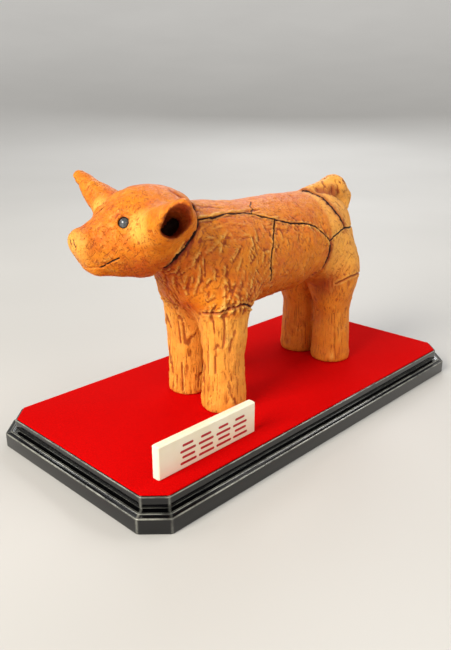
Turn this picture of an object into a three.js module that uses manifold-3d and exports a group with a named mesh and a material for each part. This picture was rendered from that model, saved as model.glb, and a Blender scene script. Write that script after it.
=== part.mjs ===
// Souvenir haniwa dog on its stepped display plinth.
// Millimetres, +Z up, origin at the middle of the plinth's underside.
// The dog looks along -X; its left flank and the name plate face -Y.
import * as THREE from "three";
import Module from "manifold-3d";

// ---------------------------------------------------------------- plinth, felt and plate
const TOP_LENGTH = 150; // upper step of the plinth, along X
const TOP_WIDTH = 71.2; // upper step, along Y
const TOP_CORNER = 5.3; // leg of its cut corners
const STEP_OUT = 2.8; // the lower step stands out this far all round
const STEP_CORNER = 6.4; // leg of the lower step's cut corners
const STEP_HEIGHT = 4.7; // top of the lower step
const PLINTH_HEIGHT = 8.9;

const FELT_THICK = 0.4;
const FELT_INSET = 0.5; // bare black rim left round the felt
const GROUND = PLINTH_HEIGHT + FELT_THICK; // the level everything stands on

const PLATE_LENGTH = 37.6;
const PLATE_HEIGHT = 10;
const PLATE_THICK = 2.6;
const PLATE_EDGE = 0.35; // softened edges
const PLATE_AT = [-48.7, -27.7]; // middle of its footprint

// ---------------------------------------------------------------- the dog's own measures
// Dog frame: origin on the felt between the four feet, -X to the nose, -Y to its left.
const DOG_AT = [6, -1.2];
const DOG_TURN = -1.2; // degrees about Z, as it is glued on
const BACK_TOP = 63.2;
const BODY_RADIUS = 17;
const BODY_MID = BACK_TOP - BODY_RADIUS;
const FOOT_X = 29; // each pair of feet stands this far from the middle
const FRONT_FOOT_Y = 8.9;
const HIND_FOOT_Y = 7.6;
const FOOT_RADIUS = 7.3;
const SHIN_RADIUS = 6.4;
const THIGH_RADIUS = 8.4;

// Head frame: origin in the skull, -X to the nose, -Y to the left ear.
const HEAD_AT = [-48.6, 1.6, 58.7];
const HEAD_TURN = -13; // degrees about Z, it looks a little to its right
const NOSE_HALF_FLAT = 2.2; // half the flat width between the nostrils
const NAPE_X = 5.6; // where the head's back edge crosses its axis
const NAPE_LEAN = 0.63; // that edge runs forward under the throat
const EAR_WALL = 0.5; // left standing inside each scoop, for walls that stay thick enough
const RIGHT_SCOOP_FORWARD = 1.3; // the right ear is scooped nearer its front edge
const EYE_AT = [-11, 8.6, 3.9];
const EYE_RADIUS = 1.5;
const SOCKET_GAP = 0.06;
const BALL_POLE = 0.12; // radians left open round each pole of a ball, under a flat cap

const CELL_HEAD = 1.9; // facet size on the head
const CELL_BODY = 2.8; // facet size on the body and the legs
const CELL_ACROSS = 2.3; // facet size across the figure
const CELL_UPPER = 2.1; // facet height from the belly up
const NECK_X = -34; // the head's facets start in front of this
const BELLY_Z = 42; // the upper facets start above this

// ---------------------------------------------------------------- shape helpers
// A shape is a function that gives the distance to its surface, negative inside.
const clamp = (v, low, high) => Math.min(high, Math.max(low, v));
const mix = (a, b, t) => a + (b - a) * t;
const radians = (degrees) => (degrees * Math.PI) / 180;

// Two shapes joined over a fillet of about `soft` millimetres.
function join(a, b, soft) {
  const t = clamp(0.5 + (0.5 * (b - a)) / soft, 0, 1);
  return mix(b, a, t) - soft * t * (1 - t);
}

// What two shapes share, with the arris eased over `soft` millimetres.
function share(a, b, soft) {
  return -join(-a, -b, soft);
}

// `stock` with `tool` cut out of it.
function carve(stock, tool, soft) {
  return share(stock, -tool, soft);
}

// A limb from a to b that tapers from radius ra to rb.
function limb(p, a, b, ra, rb) {
  const along = b.map((v, i) => v - a[i]);
  const from = p.map((v, i) => v - a[i]);
  const length2 = along[0] ** 2 + along[1] ** 2 + along[2] ** 2;
  const reach = from[0] * along[0] + from[1] * along[1] + from[2] * along[2];
  const t = clamp(reach / length2, 0, 1);
  const off = from.map((v, i) => v - along[i] * t);
  return Math.hypot(off[0], off[1], off[2]) - mix(ra, rb, t);
}

// An egg about c with the half-sizes r.
function egg(p, c, r) {
  const q = p.map((v, i) => (v - c[i]) / r[i]);
  const k = Math.hypot(q[0], q[1], q[2]);
  const slope = Math.hypot(q[0] / r[0], q[1] / r[1], q[2] / r[2]);
  return slope < 1e-9 ? -Math.min(...r) : (k * (k - 1)) / slope;
}

// A plan position turned about Z.
function turned(x, y, degrees) {
  const a = radians(degrees);
  return [x * Math.cos(a) - y * Math.sin(a), x * Math.sin(a) + y * Math.cos(a)];
}

// ---------------------------------------------------------------- the dog
// A head point as the left ear's tools see it: the right ear is their mirror, cut further forward.
const outward = (p) => [p[0] + (p[1] > 0 ? RIGHT_SCOOP_FORWARD : 0), Math.abs(p[1]), p[2]];

// The scoop on the outer side of each ear, open from the tip down to the ear hole.
function earCup(p) {
  const outer = outward(p);
  const low = limb(outer, [-1.8, 16.5, 3.6], [-3.9, 24, 5.5], 2.7, 3.9);
  const high = limb(outer, [-3.9, 24, 5.5], [-8.2, 36, 10.4], 3.9, 2.2);
  return join(low, high, 1) + EAR_WALL;
}

function earHole(p) {
  const outer = outward(p);
  const near = limb(outer, [-1.9, 15, 2.1], [0.4, 15, 4], 1.8, 1.8);
  const deep = limb(outer, [0, 11, 1.2], [2.3, 11, 3.1], 1.6, 1.6);
  return join(near, deep, 2);
}

// The head, in its own frame: skull, flat-nosed muzzle, jaw and two scooped ears.
function head(p) {
  const flattened = [p[0], Math.max(Math.abs(p[1]) - NOSE_HALF_FLAT, 0), p[2]];
  const skull = egg(p, [0.1, 0, 0.7], [15.5, 14.8, 11.6]);
  const muzzle = limb(flattened, [-5, 0, -2.8], [-19.2, 0, -1.9], 8.6, 3.9);
  const jaw = limb(flattened, [-3, 0, -4.8], [-16.2, 0, -7.8], 5.9, 3);
  const rightEar = limb(p, [-3, 10, 0.8], [-7.4, 33, 11.4], 6.8, 2.2);
  const leftEar = limb(p, [-3, -10, 0.8], [-6.5, -33, 11], 6.8, 2.2);
  const leftRim = limb(p, [3.4, -12.8, 2.8], [-4.2, -29.5, 10], 5, 1.8); // its back edge stands out
  let shape = join(skull, join(muzzle, jaw, 7), 5);
  shape = join(shape, rightEar, 3);
  shape = join(shape, join(leftEar, leftRim, 2), 3);
  shape = carve(shape, earCup(p), 0.8);
  shape = carve(shape, earHole(p), 0.4);
  const behindNape = (p[0] - NAPE_LEAN * p[2] - NAPE_X) / Math.hypot(1, NAPE_LEAN);
  return share(shape, behindNape, 1.2);
}

// One leg, narrow at the shin and flared at the foot.
function leg(p, x, y, footRadius, thighRadius) {
  const foot = limb(p, [x, y, 2.5], [x, y, 16], footRadius, SHIN_RADIUS);
  const thigh = limb(p, [x, y, 16], [x, y, 36], SHIN_RADIUS, thighRadius);
  return join(foot, thigh, 0.5);
}

// The tail climbs the rump, curls over and lies forward along the back.
function tail(p) {
  const rise = limb(p, [36, 0, 51], [40.5, 0, 58.5], 5.5, 4);
  const bend = limb(p, [40.5, 0, 58.5], [36.5, 0, 62.2], 4, 4.4);
  const tip = limb(p, [36.5, 0, 62.2], [20.5, 0, 62], 4.4, 1.8);
  return join(join(rise, bend, 2), tip, 2);
}

// The whole figure in the dog frame, cut level under the feet.
function dog(p) {
  const mirrored = [p[0], Math.abs(p[1]), p[2]];
  const waist = [4, 0, BODY_MID + 0.4];
  const chest = limb(p, [-27, 0, BODY_MID], waist, BODY_RADIUS, BODY_RADIUS - 0.5);
  const loin = limb(p, waist, [21.5, 0, BODY_MID + 1.2], BODY_RADIUS - 0.5, BODY_RADIUS - 1.7);
  const rump = limb(p, [21.5, 0, BODY_MID + 1.2], [25.2, 0, BODY_MID + 3.4], BODY_RADIUS - 1.7, 13.5);
  const neck = limb(p, [-26, 0, BODY_MID + 2], [-42, 0, BODY_MID + 9.5], 15.5, 11.5);
  const haunch = egg(mirrored, [28.2, 7.6, 35], [9.4, 9.3, 15]);
  const leftFrontLeg = leg(p, -FOOT_X, -FRONT_FOOT_Y, FOOT_RADIUS, THIGH_RADIUS);
  const rightFrontLeg = leg(p, -FOOT_X + 1, FRONT_FOOT_Y, FOOT_RADIUS - 0.7, THIGH_RADIUS);
  const hindLegs = leg(mirrored, FOOT_X + 0.5, HIND_FOOT_Y, FOOT_RADIUS, THIGH_RADIUS - 1.2);
  let shape = join(join(chest, loin, 0.5), rump, 0.5);
  shape = join(shape, neck, 4);
  shape = join(shape, haunch, 5);
  shape = join(shape, leftFrontLeg, 6);
  shape = join(shape, rightFrontLeg, 6);
  shape = join(shape, hindLegs, 4);
  shape = join(shape, tail(p), 2);
  const [hx, hy] = turned(p[0] - HEAD_AT[0], p[1] - HEAD_AT[1], -HEAD_TURN);
  shape = join(shape, head([hx, hy, p[2] - HEAD_AT[2]]), 0.6);
  return Math.max(shape, -p[2]);
}

// A point of the head frame, in the dog frame.
function headPoint([x, y, z]) {
  const [dx, dy] = turned(x, y, HEAD_TURN);
  return [dx + HEAD_AT[0], dy + HEAD_AT[1], z + HEAD_AT[2]];
}

// ---------------------------------------------------------------- shape to mesh
// Grid lines from `from` past `to`; sizeAt(v) is the spacing wanted at v.
function gridLines(from, to, sizeAt) {
  const lines = [from];
  while (lines.at(-1) < to) lines.push(lines.at(-1) + sizeAt(lines.at(-1)));
  return lines;
}

// The edges of one grid cell are numbered axis * 8 + the cell corner they start from.
// This groups its crossed edges into sheets of surface; inside corners that only face each
// other across a diagonal belong to different sheets.
function sheetsOf(inside) {
  const parent = Array.from({ length: 24 }, (_, edge) => edge);
  const root = (edge) => (parent[edge] === edge ? edge : root(parent[edge]));
  for (let axis = 0; axis < 3; axis++)
    for (const side of [0, 1 << axis]) {
      const [u, v] = [(axis + 1) % 3, (axis + 2) % 3];
      const [du, dv] = [1 << u, 1 << v];
      const ring = [side, side | du, side | du | dv, side | dv];
      const edges = [u * 8 + side, v * 8 + (side | du), u * 8 + (side | dv), v * 8 + side];
      for (let i = 0; i < 4; i++) {
        if (!inside[ring[i]] || inside[ring[(i + 3) % 4]]) continue;
        let last = i;
        while (inside[ring[(last + 1) % 4]]) last++;
        parent[root(edges[(i + 3) % 4])] = root(edges[last % 4]);
      }
    }
  return root;
}

// A closed faceted skin: a vertex for each sheet in a cell, a quad over every crossed edge.
function skin(shape, xs, ys, zs) {
  const [nx, ny, nz] = [xs.length, ys.length, zs.length];
  const at = (i, j, k) => (k * ny + j) * nx + i;
  const value = new Float64Array(nx * ny * nz);
  const eachCell = (first, visit) => {
    for (let k = first; k + 1 < nz; k++)
      for (let j = first; j + 1 < ny; j++)
        for (let i = first; i + 1 < nx; i++) visit(i, j, k);
  };
  for (let k = 0; k < nz; k++)
    for (let j = 0; j < ny; j++)
      for (let i = 0; i < nx; i++) value[at(i, j, k)] = shape([xs[i], ys[j], zs[k]]);

  const vertexOf = new Map(); // cell * 24 + edge -> vertex
  const vertices = [];
  eachCell(0, (i, j, k) => {
    const corners = Array.from({ length: 8 }, (_, c) => [i + (c & 1), j + ((c >> 1) & 1), k + (c >> 2)]);
    const values = corners.map((c) => value[at(...c)]);
    const inside = values.map((v) => v < 0);
    if (inside.every((v) => v === inside[0])) return;
    const sheet = sheetsOf(inside);
    const points = new Map();
    for (let axis = 0; axis < 3; axis++)
      for (let c = 0; c < 8; c++) {
        const d = c | (1 << axis);
        if (d === c || inside[c] === inside[d]) continue;
        const t = values[c] / (values[c] - values[d]);
        const [p, q] = [corners[c], corners[d]];
        const point = [mix(xs[p[0]], xs[q[0]], t), mix(ys[p[1]], ys[q[1]], t), mix(zs[p[2]], zs[q[2]], t)];
        const key = sheet(axis * 8 + c);
        points.set(key, [...(points.get(key) ?? []), { edge: axis * 8 + c, point }]);
      }
    for (const group of points.values()) {
      for (const { edge } of group) vertexOf.set(at(i, j, k) * 24 + edge, vertices.length / 3);
      for (let n = 0; n < 3; n++)
        vertices.push(group.reduce((sum, { point }) => sum + point[n], 0) / group.length);
    }
  });

  const faces = [];
  eachCell(1, (i, j, k) => {
    const start = value[at(i, j, k)] < 0;
    const ends = [at(i + 1, j, k), at(i, j + 1, k), at(i, j, k + 1)];
    for (let axis = 0; axis < 3; axis++) {
      if (start === value[ends[axis]] < 0) continue;
      const [du, dv] = [1 << (axis + 1) % 3, 1 << (axis + 2) % 3];
      const around = [du | dv, dv, 0, du].map((c) => {
        const cell = at(i - (c & 1), j - ((c >> 1) & 1), k - (c >> 2));
        return vertexOf.get(cell * 24 + axis * 8 + c);
      });
      if (!start) around.reverse();
      faces.push(around[0], around[1], around[2], around[0], around[2], around[3]);
    }
  });
  return geometryOf(vertices, faces);
}

function geometryOf(vertices, faces) {
  const geometry = new THREE.BufferGeometry();
  geometry.setAttribute("position", new THREE.Float32BufferAttribute(vertices, 3));
  geometry.setIndex(faces);
  return geometry;
}

// Equal rings of points, one above the other, skinned and closed at both ends.
function loft(rings) {
  const n = rings[0].length;
  const vertices = rings.flat(2);
  const faces = [];
  for (let r = 0; r + 1 < rings.length; r++)
    for (let i = 0; i < n; i++) {
      const [a, b] = [r * n + i, r * n + ((i + 1) % n)];
      faces.push(a, b, b + n, a, b + n, a + n);
    }
  const top = (rings.length - 1) * n;
  for (let i = 1; i + 1 < n; i++) {
    faces.push(0, i + 1, i);
    faces.push(top, top + i, top + i + 1);
  }
  return geometryOf(vertices, faces);
}

// A level rectangle with cut corners, anticlockwise seen from above.
function cutRectangle(halfX, halfY, corner, z) {
  const ring = [];
  for (const [sx, sy] of [[1, 1], [-1, 1], [-1, -1], [1, -1]]) {
    const onSide = [sx * halfX, sy * (halfY - corner), z];
    const onFront = [sx * (halfX - corner), sy * halfY, z];
    if (sx * sy > 0) ring.push(onSide, onFront);
    else ring.push(onFront, onSide);
  }
  return ring;
}

// ---------------------------------------------------------------- the pieces
function plinthGeometry() {
  // Outline from the underside up: how far out from the upper step, and the height.
  const profile = [
    [STEP_OUT - 0.3, 0],
    [STEP_OUT, 0.3],
    [STEP_OUT, STEP_HEIGHT - 0.6],
    [STEP_OUT - 0.2, STEP_HEIGHT - 0.2],
    [STEP_OUT - 0.6, STEP_HEIGHT],
    [1.5, STEP_HEIGHT + 0.05],
    [1.3, STEP_HEIGHT + 0.3], // raised bead behind the lower step's edge
    [0.8, STEP_HEIGHT + 0.3],
    [0.6, STEP_HEIGHT + 0.05],
    [-0.7, STEP_HEIGHT + 0.1], // shadow groove under the upper step
    [-0.7, STEP_HEIGHT + 0.6],
    [0, STEP_HEIGHT + 0.75], // thin lip
    [0, PLINTH_HEIGHT - 0.3],
    [-0.25, PLINTH_HEIGHT],
  ];
  return loft(
    profile.map(([out, z]) => {
      const corner = mix(TOP_CORNER, STEP_CORNER, clamp(out / STEP_OUT, 0, 1));
      return cutRectangle(TOP_LENGTH / 2 + out, TOP_WIDTH / 2 + out, corner, z);
    }),
  );
}

function feltGeometry() {
  const halfX = TOP_LENGTH / 2 - FELT_INSET;
  const halfY = TOP_WIDTH / 2 - FELT_INSET;
  return loft([PLINTH_HEIGHT, GROUND].map((z) => cutRectangle(halfX, halfY, TOP_CORNER, z)));
}

function plateGeometry() {
  const [halfX, halfY] = [PLATE_LENGTH / 2, PLATE_THICK / 2];
  const layers = [
    [PLATE_EDGE, 0],
    [0, PLATE_EDGE],
    [0, PLATE_HEIGHT - PLATE_EDGE],
    [PLATE_EDGE, PLATE_HEIGHT],
  ];
  return loft(layers.map(([inset, z]) => cutRectangle(halfX - inset, halfY - inset, PLATE_EDGE, z)));
}

const wasm = await Module();
wasm.setup();

function solidOf(geometry) {
  const vertProperties = new Float32Array(geometry.attributes.position.array);
  const triVerts = new Uint32Array(geometry.index.array);
  return new wasm.Manifold(new wasm.Mesh({ numProp: 3, vertProperties, triVerts }));
}

// A ball of the given radius, welded so that it is one closed body.
function ballGeometry(radius, centre, detail) {
  const rings = [];
  for (let r = 0; r <= detail; r++) {
    const polar = mix(BALL_POLE, Math.PI - BALL_POLE, r / detail);
    const ring = [];
    for (let i = 0; i < 2 * detail; i++) {
      const round = (Math.PI * i) / detail;
      const out = radius * Math.sin(polar);
      const z = centre[2] - radius * Math.cos(polar);
      ring.push([centre[0] + out * Math.cos(round), centre[1] + out * Math.sin(round), z]);
    }
    rings.push(ring);
  }
  return loft(rings);
}

const EYES = { eye_left: -1, eye_right: 1 };
const eyeCentre = (side) => headPoint([EYE_AT[0], side * EYE_AT[1], EYE_AT[2]]);

function dogGeometry() {
  const xs = gridLines(-75, 50, (x) => (x < NECK_X ? CELL_HEAD : CELL_BODY));
  const ys = gridLines(-34.5, 38, () => CELL_ACROSS);
  const zs = gridLines(-5, 80, (z) => (z < BELLY_Z ? CELL_BODY : CELL_UPPER));
  let solid = solidOf(skin(dog, xs, ys, zs));
  for (const side of Object.values(EYES)) {
    const socket = ballGeometry(EYE_RADIUS + SOCKET_GAP, eyeCentre(side), 6);
    solid = solid.subtract(solidOf(socket));
  }
  // The ear's thin edge can leave a loose crumb smaller than a facet; only the figure is kept.
  const whole = solid.decompose().reduce((a, b) => (a.volume() > b.volume() ? a : b));
  const mesh = whole.getMesh();
  return geometryOf(Array.from(mesh.vertProperties), Array.from(mesh.triVerts));
}

// ---------------------------------------------------------------- the set
const set = new THREE.Group();

function add(name, geometry, color, roughness, parent = set) {
  const mesh = new THREE.Mesh(geometry, new THREE.MeshStandardMaterial({ color, roughness }));
  mesh.name = name;
  parent.add(mesh);
  return mesh;
}

add("plinth", plinthGeometry(), 0x0b0b0c, 0.15);
add("felt_top", feltGeometry(), 0xb00808, 1);
add("name_plate", plateGeometry(), 0xe6e0c4, 0.5).position.set(...PLATE_AT, GROUND);

const figure = new THREE.Group();
figure.position.set(...DOG_AT, GROUND);
figure.rotation.z = radians(DOG_TURN);
set.add(figure);
add("dog_figure", dogGeometry(), 0xc8751f, 0.7, figure);
for (const [name, side] of Object.entries(EYES)) {
  add(name, ballGeometry(EYE_RADIUS, eyeCentre(side), 6), 0x3a3d40, 0.15, figure);
}

export default set;
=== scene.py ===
"""The looks of the souvenir haniwa dog: fired-clay relief, felt, lacquer, plate, light and camera."""

import itertools
import math

import bpy
import numpy as np
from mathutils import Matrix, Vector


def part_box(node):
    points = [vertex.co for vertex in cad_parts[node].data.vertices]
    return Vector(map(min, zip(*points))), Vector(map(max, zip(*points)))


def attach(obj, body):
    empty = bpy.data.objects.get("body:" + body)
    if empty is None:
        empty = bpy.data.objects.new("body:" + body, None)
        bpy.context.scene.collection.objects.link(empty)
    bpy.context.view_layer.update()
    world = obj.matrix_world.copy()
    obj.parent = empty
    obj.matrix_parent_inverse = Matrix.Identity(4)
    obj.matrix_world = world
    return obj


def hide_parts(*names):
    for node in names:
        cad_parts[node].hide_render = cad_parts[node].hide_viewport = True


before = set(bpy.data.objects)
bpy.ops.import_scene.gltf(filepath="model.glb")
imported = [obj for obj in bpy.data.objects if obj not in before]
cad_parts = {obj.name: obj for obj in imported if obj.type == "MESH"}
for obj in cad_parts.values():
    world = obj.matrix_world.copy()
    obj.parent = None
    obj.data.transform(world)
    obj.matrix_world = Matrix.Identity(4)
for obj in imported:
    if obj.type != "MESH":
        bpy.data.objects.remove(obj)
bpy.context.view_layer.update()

MM = 0.001

# ---------------------------------------------------------------- measures shared with the solid, in mm
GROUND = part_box("felt_top")[1][2] / MM
DOG_AT = (6, -1.2)
DOG_TURN = -1.2
BODY_RADIUS = 17
BODY_MID = 63.2 - BODY_RADIUS
FOOT_X = 29
FRONT_FOOT_Y = 8.9
HIND_FOOT_Y = 7.6
FOOT_RADIUS = 7.3
SHIN_RADIUS = 6.4
THIGH_RADIUS = 8.4
HEAD_AT = (-48.6, 1.6, 58.7)
HEAD_TURN = -13
NOSE_HALF_FLAT = 2.2
NAPE_X = 5.6
NAPE_LEAN = 0.63
RIGHT_SCOOP_FORWARD = 1.3
EYE_AT = (-11, 8.6, 3.9)
EYE_RADIUS = 1.5

# ---------------------------------------------------------------- looks measures, in mm
CELL = 0.66  # facet size of the clay skin before it is refined along the cracks
CRACK_DEPTH = 0.5
CRACK_HALF = 0.24
SEED = 7
STEP_OUT = 2.8  # the plinth's lower step stands out this far
# The plinth's side from the underside up: how far out from the upper step, and the height.
PLINTH_PROFILE = (
    (2.6, 0), (2.8, 0.3), (2.8, 4.7), (1.6, 4.72), (1.4, 5.02), (0.8, 5.02), (0.6, 4.76), (-0.7, 4.78),
    (-0.7, 5.3), (0, 5.5), (0, 8.9), (-0.6, 8.9),
)
BRIGHT_CORNERS = (2, 4, 5, 9, 10)  # the arrises that get a full painted highlight, pale along their length
CORNER_CUT = 5.3  # the cut corners of the felt and of the plinth's upper step
LOWER_CUT_MORE = 1.1  # the lower step's corners are cut this much more

random = np.random.default_rng(SEED)


# ---------------------------------------------------------------- shape helpers
def join(a, b, soft):
    """Two shapes joined over a fillet of about soft millimetres."""
    t = np.clip(0.5 + 0.5 * (b - a) / soft, 0, 1)
    return b + (a - b) * t - soft * t * (1 - t)


def share(a, b, soft):
    return -join(-a, -b, soft)


def carve(stock, tool, soft):
    return share(stock, -tool, soft)


def limb(p, a, b, ra, rb):
    """A limb from a to b that tapers from radius ra to rb."""
    along = [b[i] - a[i] for i in range(3)]
    off = [p[i] - a[i] for i in range(3)]
    t = sum(o * v for o, v in zip(off, along)) / sum(v * v for v in along)
    t = np.clip(t, 0, 1)
    square = sum((o - v * t) ** 2 for o, v in zip(off, along))
    return np.sqrt(square) - (ra + (rb - ra) * t)


def egg(p, c, r):
    q = [(p[i] - c[i]) / r[i] for i in range(3)]
    k = np.sqrt(sum(v * v for v in q))
    slope = np.sqrt(sum((v / s) ** 2 for v, s in zip(q, r)))
    return k * (k - 1) / np.maximum(slope, 1e-6)


def ball(p, c, r):
    return np.sqrt(sum((p[i] - c[i]) ** 2 for i in range(3))) - r


def turned(x, y, degrees):
    a = math.radians(degrees)
    return x * math.cos(a) - y * math.sin(a), x * math.sin(a) + y * math.cos(a)


# ---------------------------------------------------------------- the dog, as in the solid
EYE_OUT = (-0.45, 0.78, 0.43)  # the way the eye looks, out of its socket


def outward(p):
    """A head point as the left ear's tools see it: the right ear is their mirror, cut further forward."""
    return (p[0] + RIGHT_SCOOP_FORWARD * (p[1] > 0), np.abs(p[1]), p[2])


def ear_cup(p):
    """The scoop on the outer side of each ear, open from the tip down to the ear hole."""
    mirrored = outward(p)
    low = limb(mirrored, (-1.8, 16.5, 3.6), (-3.9, 24, 5.5), 2.7, 3.9)
    high = limb(mirrored, (-3.9, 24, 5.5), (-8.2, 36, 10.4), 3.9, 2.2)
    return join(low, high, 1) + 0.5 * (p[1] > 0)  # shallower on the right


def ear_hole(p):
    mirrored = outward(p)
    near = limb(mirrored, (-1.6, 15, 1.9), (0.8, 15, 4.1), 1.4, 1.4)
    deep = limb(mirrored, (0, 11, 1.2), (2.3, 11, 3.1), 1.6, 1.6)
    return join(near, deep, 2)


def head(p):
    flattened = (p[0], np.maximum(np.abs(p[1]) - NOSE_HALF_FLAT, 0), p[2])
    skull = egg(p, (0.1, 0, 0.7), (15.5, 14.8, 11.6))
    muzzle = limb(flattened, (-5, 0, -2.8), (-19.2, 0, -1.9), 8.6, 3.9)
    jaw = limb(flattened, (-3, 0, -4.8), (-16.2, 0, -7.8), 5.9, 3)
    right_ear = limb(p, (-3, 10, 0.8), (-7.4, 33, 11.4), 6.8, 2.2)
    left_ear = limb(p, (-3, -10, 0.8), (-6.5, -33, 11), 6.8, 2.2)
    left_rim = limb(p, (3.4, -12.8, 2.8), (-4.2, -29.5, 10), 5, 1.8)  # its back edge stands out
    shape = join(skull, join(muzzle, jaw, 7), 5)
    shape = join(shape, right_ear, 3)
    shape = join(shape, join(left_ear, left_rim, 2), 3)
    shape = carve(shape, ear_cup(p), 0.8)
    shape = carve(shape, ear_hole(p), 0.4)
    behind_nape = (p[0] - NAPE_LEAN * p[2] - NAPE_X) / math.hypot(1, NAPE_LEAN)
    return share(shape, behind_nape, 1.2)


def eye_rim(p, shape):
    """A thin lid of clay round each bead, and the socket that the bead sits in."""
    mirrored = (p[0], np.abs(p[1]), p[2])
    off = [mirrored[i] - EYE_AT[i] for i in range(3)]
    up = sum(o * v for o, v in zip(off, EYE_OUT))
    out = np.sqrt(np.maximum(sum(o * o for o in off) - up * up, 0))
    ring = np.sqrt((out - 2.1) ** 2 + (up - 0.35) ** 2) - 0.5
    shape = join(shape, ring, 0.35)
    return carve(shape, ball(mirrored, EYE_AT, EYE_RADIUS + 0.07), 0.08)


def leg(p, x, y, foot_radius, thigh_radius):
    foot = limb(p, (x, y, 2.5), (x, y, 16), foot_radius, SHIN_RADIUS)
    thigh = limb(p, (x, y, 16), (x, y, 36), SHIN_RADIUS, thigh_radius)
    return join(foot, thigh, 0.5)


def tail(p):
    rise = limb(p, (36, 0, 51), (40.5, 0, 58.5), 5.5, 4)
    bend = limb(p, (40.5, 0, 58.5), (36.5, 0, 62.2), 4, 4.4)
    tip = limb(p, (36.5, 0, 62.2), (20.5, 0, 62), 4.4, 1.8)
    return join(join(rise, bend, 2), tip, 2)


def trunk(p):
    """The body with its legs and tail, in the dog frame."""
    mirrored = (p[0], np.abs(p[1]), p[2])
    mid = BODY_MID
    chest = limb(p, (-27, 0, mid), (4, 0, mid + 0.4), BODY_RADIUS, BODY_RADIUS - 0.5)
    loin = limb(p, (4, 0, mid + 0.4), (21.5, 0, mid + 1.2), BODY_RADIUS - 0.5, BODY_RADIUS - 1.7)
    rump = limb(p, (21.5, 0, mid + 1.2), (25.2, 0, mid + 3.4), BODY_RADIUS - 1.7, 13.5)
    neck = limb(p, (-26, 0, mid + 2), (-42, 0, mid + 9.5), 15.5, 11.5)
    haunch = egg(mirrored, (28.2, 7.6, 35), (9.4, 9.3, 15))
    shape = join(join(chest, loin, 0.5), rump, 0.5)
    shape = join(shape, neck, 4)
    shape = join(shape, haunch, 5)
    shape = join(shape, leg(p, -FOOT_X, -FRONT_FOOT_Y, FOOT_RADIUS, THIGH_RADIUS), 6)
    shape = join(shape, leg(p, -FOOT_X + 1, FRONT_FOOT_Y, FOOT_RADIUS - 0.7, THIGH_RADIUS), 6)
    shape = join(shape, leg(mirrored, FOOT_X + 0.5, HIND_FOOT_Y, FOOT_RADIUS, THIGH_RADIUS - 1.2), 4)
    return join(shape, tail(p), 2)


def in_head(p):
    x, y = turned(p[0] - HEAD_AT[0], p[1] - HEAD_AT[1], -HEAD_TURN)
    return x, y, p[2] - HEAD_AT[2]


def dog(p):
    q = in_head(p)
    shape = join(trunk(p), eye_rim(q, head(q)), 0.6)
    return np.maximum(shape, -p[2])


def head_point(x, y, z):
    dx, dy = turned(x, y, HEAD_TURN)
    return dx + HEAD_AT[0], dy + HEAD_AT[1], z + HEAD_AT[2]


def normals_at(points):
    """The way out of the dog at each point, from the slope of its distance."""
    reach = 0.05
    slope = np.empty_like(points)
    for axis in range(3):
        nudge = np.zeros(3)
        nudge[axis] = reach
        slope[:, axis] = dog((points + nudge).T) - dog((points - nudge).T)
    return slope / np.maximum(np.linalg.norm(slope, axis=1, keepdims=True), 1e-9)


def settled(points, rounds):
    """The points moved onto the dog's surface."""
    for _ in range(rounds):
        points = points - normals_at(points) * dog(points.T)[:, None]
    return points


# ---------------------------------------------------------------- skin and refinement
def skin(shape, low, high, cell):
    """A closed skin of triangles: a vertex in every crossed cell, a quad over every crossed edge."""
    xs, ys, zs = (np.arange(a, b + cell, cell) for a, b in zip(low, high))
    grid_x, grid_y = np.meshgrid(xs, ys, indexing="ij")
    value = np.stack([shape((grid_x, grid_y, np.full_like(grid_x, z))) for z in zs], axis=2)
    inside = value < 0

    cells = tuple(n - 1 for n in value.shape)
    total = np.zeros(cells + (3,), np.float32)
    count = np.zeros(cells, np.int16)
    lines = (xs, ys, zs)
    crossings = []
    for axis in range(3):
        first = tuple(slice(None, -1) if a == axis else slice(None) for a in range(3))
        second = tuple(slice(1, None) if a == axis else slice(None) for a in range(3))
        start = np.argwhere(inside[first] != inside[second])
        end = start + np.eye(3, dtype=int)[axis]
        va, vb = value[tuple(start.T)], value[tuple(end.T)]
        point = np.stack([lines[a][start[:, a]] for a in range(3)], axis=1)
        point[:, axis] += cell * va / (va - vb)
        u, v = (axis + 1) % 3, (axis + 2) % 3
        around = []
        for du, dv in ((1, 1), (0, 1), (0, 0), (1, 0)):
            home = start.copy()
            home[:, u] -= du
            home[:, v] -= dv
            np.add.at(total, tuple(home.T), point)
            np.add.at(count, tuple(home.T), 1)
            around.append(home)
        crossings.append((around, inside[tuple(start.T)]))

    used = count > 0
    number = np.full(cells, -1)
    number[used] = np.arange(used.sum())
    points = total[used].astype(float) / count[used][:, None]
    triangles = []
    for around, from_inside in crossings:
        a, b, c, d = (number[tuple(home.T)] for home in around)
        quads = np.stack([a, b, c, d], axis=1)
        quads = np.where(from_inside[:, None], quads, quads[:, ::-1])
        triangles += [quads[:, [0, 1, 2]], quads[:, [0, 2, 3]]]
    return points, np.concatenate(triangles)


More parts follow.
